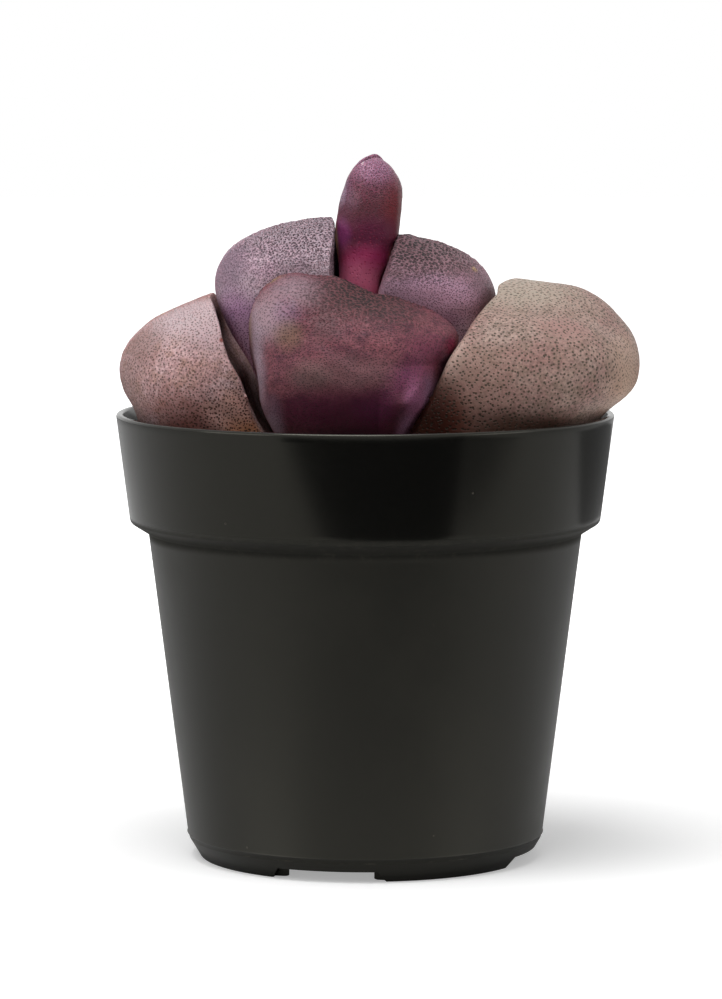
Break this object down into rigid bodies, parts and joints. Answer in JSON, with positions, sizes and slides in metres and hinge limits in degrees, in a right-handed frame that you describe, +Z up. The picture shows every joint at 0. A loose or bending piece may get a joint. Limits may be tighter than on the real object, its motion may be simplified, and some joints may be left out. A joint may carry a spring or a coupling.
{
  "type": "potted split rock succulent",
  "caption": "Stone-like succulent of crossed pairs of rounded, dotted leaves and one upright young pair, growing from potting mix in a round stepped nursery pot.",
  "frame": {"origin": "on the ground plane, under the middle of the whole object's bounding box; the pot's own axis stands 1.6 mm to -X of it, because the right-hand outer leaf hangs over the rim", "axes": "+Z up, +X towards the right-hand outer leaf, -Y towards the front leaf"},
  "size_m": [0.0682, 0.065, 0.0912],
  "materials": {
    "old_leaf_skin": "matt waxy skin, grey-pink, with dark green dots",
    "dark_leaf_skin": "matt waxy skin, dusky purple-brown, with dark dots",
    "purple_leaf_skin": "matt waxy skin, grey-purple, with fine dark dots",
    "new_leaf_skin": "satin waxy skin, magenta at the foot and dusky purple above",
    "root_bark": "matt corky bark",
    "potting_mix": "matt gritty mix",
    "black_plastic": "satin injection-moulded plastic"
  },
  "bodies": {
    "root": {"outer_leaf_left": "old_leaf_skin", "outer_leaf_right": "old_leaf_skin", "front_leaf": "dark_leaf_skin", "back_leaf": "dark_leaf_skin", "inner_leaf_left": "purple_leaf_skin", "inner_leaf_right": "purple_leaf_skin", "new_leaf_front": "new_leaf_skin", "new_leaf_back": "new_leaf_skin", "stem_and_taproot": "root_bark", "potting_mix": "potting_mix", "pot": "black_plastic"}
  },
  "joints": []
}
